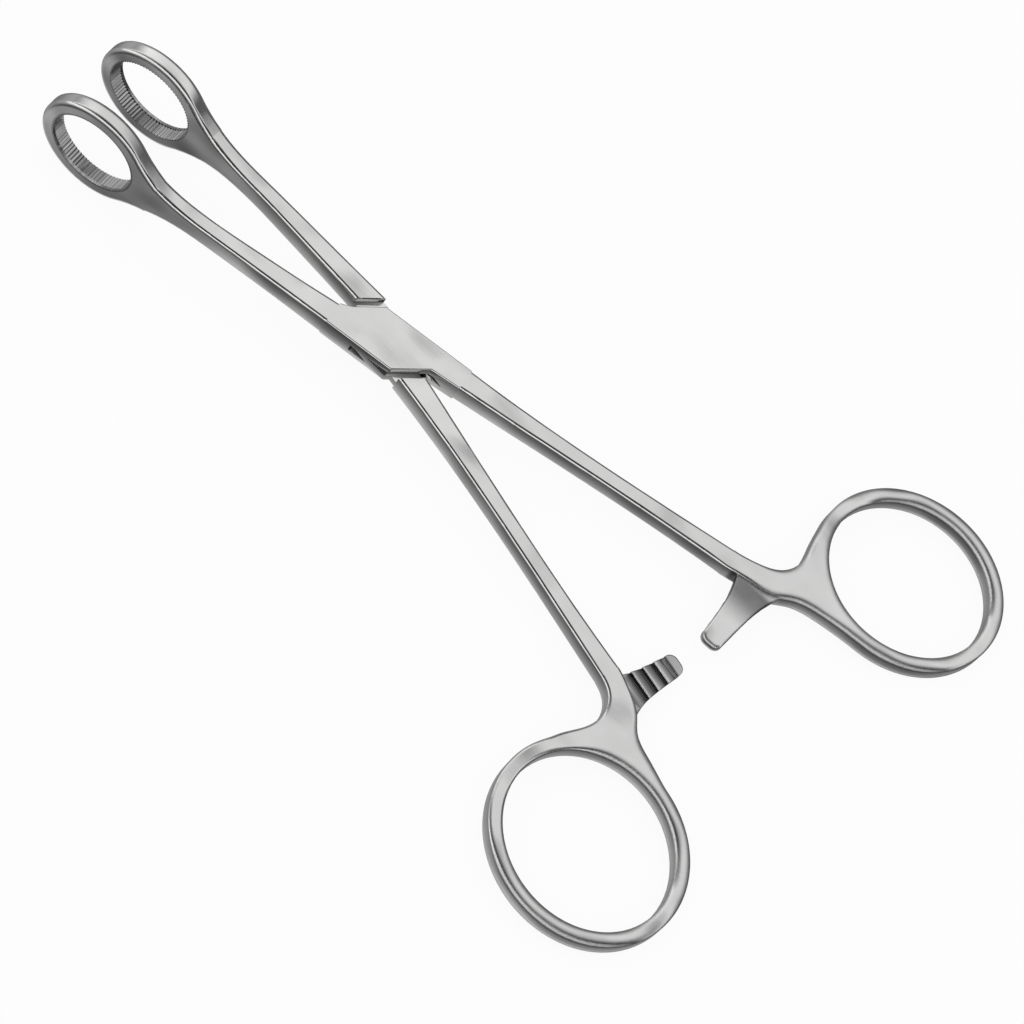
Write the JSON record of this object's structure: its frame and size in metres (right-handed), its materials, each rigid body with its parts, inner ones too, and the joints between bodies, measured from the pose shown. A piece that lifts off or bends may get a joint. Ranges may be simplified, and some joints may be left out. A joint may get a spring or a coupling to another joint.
{
  "type": "babcock forceps",
  "caption": "Ring-handled surgical tissue forceps with a box lock, fenestrated jaw loops with serrated rims and a ratchet between the handles.",
  "frame": {"origin": "on the pivot axis, midway between the two faces of the box lock", "axes": "+Z along the pivot pin, +X towards the finger rings, +Y towards the shank of the half with the box"},
  "size_m": [0.1526, 0.0977, 0.0176],
  "materials": {
    "box_half_steel": "satin stainless steel, brighter on the rounded edges",
    "through_half_steel": "satin stainless steel, brighter on the rounded edges",
    "pin_steel": "satin stainless steel, ground flush with the lock"
  },
  "bodies": {
    "box_half": {"box_half": "box_half_steel", "pivot_pin": "pin_steel"},
    "through_half": {"through_half": "through_half_steel"}
  },
  "joints": [
    {"name": "pivot", "type": "hinge", "parent": "box_half", "child": "through_half", "pos_m": [0, 0, 0], "axis": [0, 0, 1], "range_deg": [-5, 10.2]}
  ]
}
